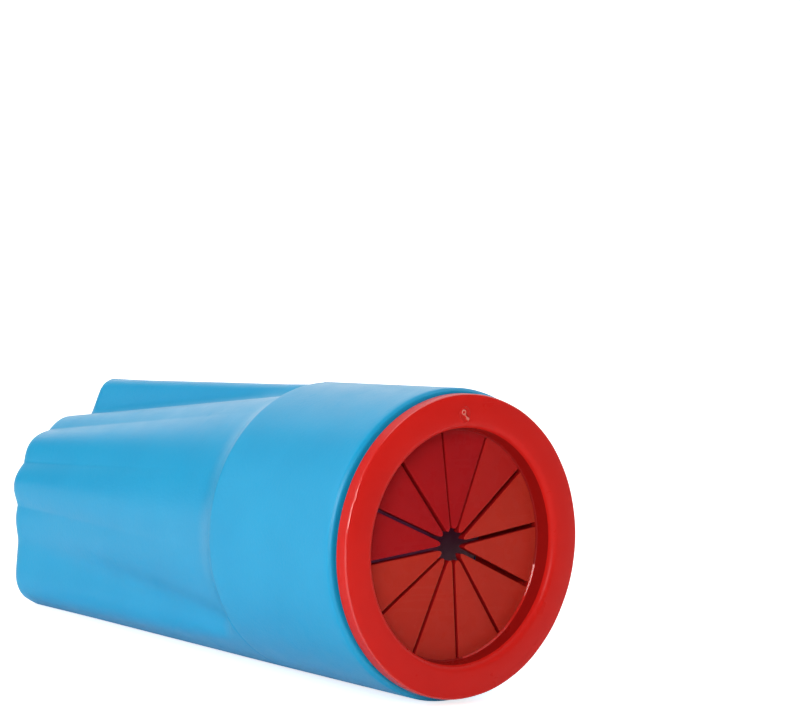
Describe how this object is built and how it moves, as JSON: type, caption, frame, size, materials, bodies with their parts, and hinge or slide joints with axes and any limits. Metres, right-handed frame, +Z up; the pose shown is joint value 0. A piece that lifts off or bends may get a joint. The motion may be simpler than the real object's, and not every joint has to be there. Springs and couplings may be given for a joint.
{
  "type": "twist wire connector",
  "caption": "Winged twist-on wire connector with a tapered spring socket, sealant and a snap-in cap whose slit mouth flaps fold inwards as wires are pushed in.",
  "frame": {"origin": "centre of the bounding box's bottom; the connector lies on its side and its axis runs 9.5 mm above the origin", "axes": "+X along the connector's axis and out of its mouth, +Z up; the wings lie about a plane 63 degrees from +Y towards +Z"},
  "size_m": [0.0386, 0.019, 0.019],
  "materials": {
    "shell_plastic": "sky-blue moulded polypropylene, fine satin grain",
    "cap_plastic": "red moulded polypropylene, semi-gloss",
    "flap_plastic": "the cap's red polypropylene, slightly deeper where it is thin",
    "spring_steel": "zinc-plated square spring wire",
    "sealant": "translucent silicone sealant"
  },
  "bodies": {
    "connector_body": {"shell": "shell_plastic", "cap_ring": "cap_plastic", "spring": "spring_steel", "sealant": "sealant"},
    "petal_01": {"petal_01": "flap_plastic"},
    "petal_02": {"petal_02": "flap_plastic"},
    "petal_03": {"petal_03": "flap_plastic"},
    "petal_04": {"petal_04": "flap_plastic"},
    "petal_05": {"petal_05": "flap_plastic"},
    "petal_06": {"petal_06": "flap_plastic"},
    "petal_07": {"petal_07": "flap_plastic"},
    "petal_08": {"petal_08": "flap_plastic"},
    "petal_09": {"petal_09": "flap_plastic"},
    "petal_10": {"petal_10": "flap_plastic"},
    "petal_11": {"petal_11": "flap_plastic"},
    "petal_12": {"petal_12": "flap_plastic"}
  },
  "joints": [
    {"name": "petal_01_hinge", "type": "hinge", "parent": "connector_body", "child": "petal_01", "pos_m": [0.01795, 0.00609, 0.01204], "axis": [0, 0.3843, -0.9232], "range_deg": [0, 75], "stiffness_Nm_per_rad": 0.002},
    {"name": "petal_02_hinge", "type": "hinge", "parent": "connector_body", "child": "petal_02", "pos_m": [0.01795, 0.00401, 0.01474], "axis": [0, 0.7944, -0.6074], "range_deg": [0, 75], "stiffness_Nm_per_rad": 0.002},
    {"name": "petal_03_hinge", "type": "hinge", "parent": "connector_body", "child": "petal_03", "pos_m": [0.01795, 0.00085, 0.01605], "axis": [0, 0.9917, -0.1288], "range_deg": [0, 75], "stiffness_Nm_per_rad": 0.002},
    {"name": "petal_04_hinge", "type": "hinge", "parent": "connector_body", "child": "petal_04", "pos_m": [0.01795, -0.00254, 0.01559], "axis": [0, 0.9232, 0.3843], "range_deg": [0, 75], "stiffness_Nm_per_rad": 0.002},
    {"name": "petal_05_hinge", "type": "hinge", "parent": "connector_body", "child": "petal_05", "pos_m": [0.01795, -0.00524, 0.01351], "axis": [0, 0.6074, 0.7944], "range_deg": [0, 75], "stiffness_Nm_per_rad": 0.002},
    {"name": "petal_06_hinge", "type": "hinge", "parent": "connector_body", "child": "petal_06", "pos_m": [0.01795, -0.00654, 0.01035], "axis": [0, 0.1288, 0.9917], "range_deg": [0, 75], "stiffness_Nm_per_rad": 0.002},
    {"name": "petal_07_hinge", "type": "hinge", "parent": "connector_body", "child": "petal_07", "pos_m": [0.01795, -0.00609, 0.00696], "axis": [0, -0.3843, 0.9232], "range_deg": [0, 75], "stiffness_Nm_per_rad": 0.002},
    {"name": "petal_08_hinge", "type": "hinge", "parent": "connector_body", "child": "petal_08", "pos_m": [0.01795, -0.00401, 0.00426], "axis": [0, -0.7944, 0.6074], "range_deg": [0, 75], "stiffness_Nm_per_rad": 0.002},
    {"name": "petal_09_hinge", "type": "hinge", "parent": "connector_body", "child": "petal_09", "pos_m": [0.01795, -0.00085, 0.00296], "axis": [0, -0.9917, 0.1288], "range_deg": [0, 75], "stiffness_Nm_per_rad": 0.002},
    {"name": "petal_10_hinge", "type": "hinge", "parent": "connector_body", "child": "petal_10", "pos_m": [0.01795, 0.00254, 0.00341], "axis": [0, -0.9232, -0.3843], "range_deg": [0, 75], "stiffness_Nm_per_rad": 0.002},
    {"name": "petal_11_hinge", "type": "hinge", "parent": "connector_body", "child": "petal_11", "pos_m": [0.01795, 0.00524, 0.00549], "axis": [0, -0.6074, -0.7944], "range_deg": [0, 75], "stiffness_Nm_per_rad": 0.002},
    {"name": "petal_12_hinge", "type": "hinge", "parent": "connector_body", "child": "petal_12", "pos_m": [0.01795, 0.00654, 0.00865], "axis": [0, -0.1288, -0.9917], "range_deg": [0, 75], "stiffness_Nm_per_rad": 0.002}
  ]
}
